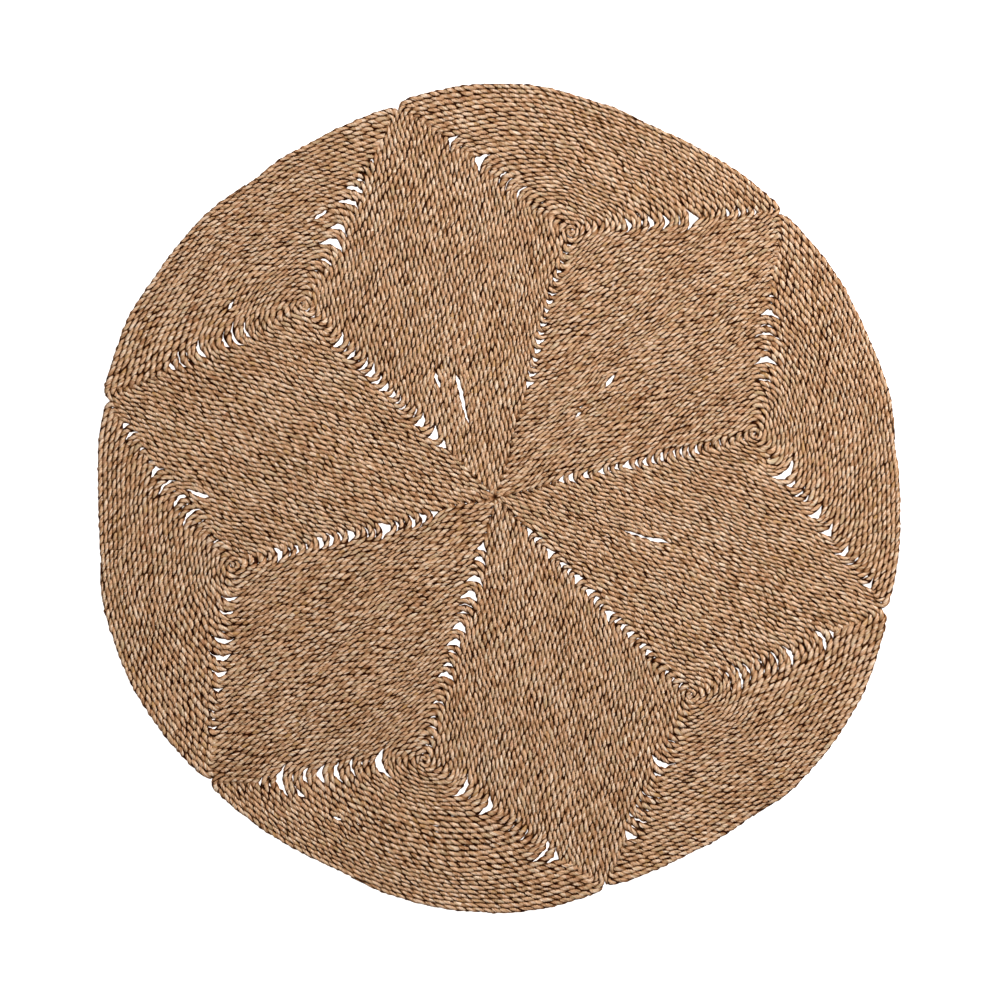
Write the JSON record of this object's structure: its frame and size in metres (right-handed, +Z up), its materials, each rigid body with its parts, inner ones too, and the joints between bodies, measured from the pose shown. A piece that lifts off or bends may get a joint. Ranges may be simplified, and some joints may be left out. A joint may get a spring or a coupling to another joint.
{
  "type": "coiled rope round rug",
  "caption": "Round flat floor rug made of coiled rope wedge panels sewn edge to edge, each panel wound in a spiral about its own eye.",
  "frame": {"origin": "centre of the rug's underside, on the floor", "axes": "+Z up, out of the rug's face; +Y is the picture's up and +X its right"},
  "size_m": [1.1873, 1.2191, 0.0065],
  "materials": {
    "seagrass": "twisted dry grass rope, matt"
  },
  "bodies": {
    "root": {"coil_right": "seagrass", "coil_top": "seagrass", "coil_upper_left": "seagrass", "coil_left": "seagrass", "coil_bottom": "seagrass", "coil_lower_right": "seagrass"}
  },
  "joints": []
}
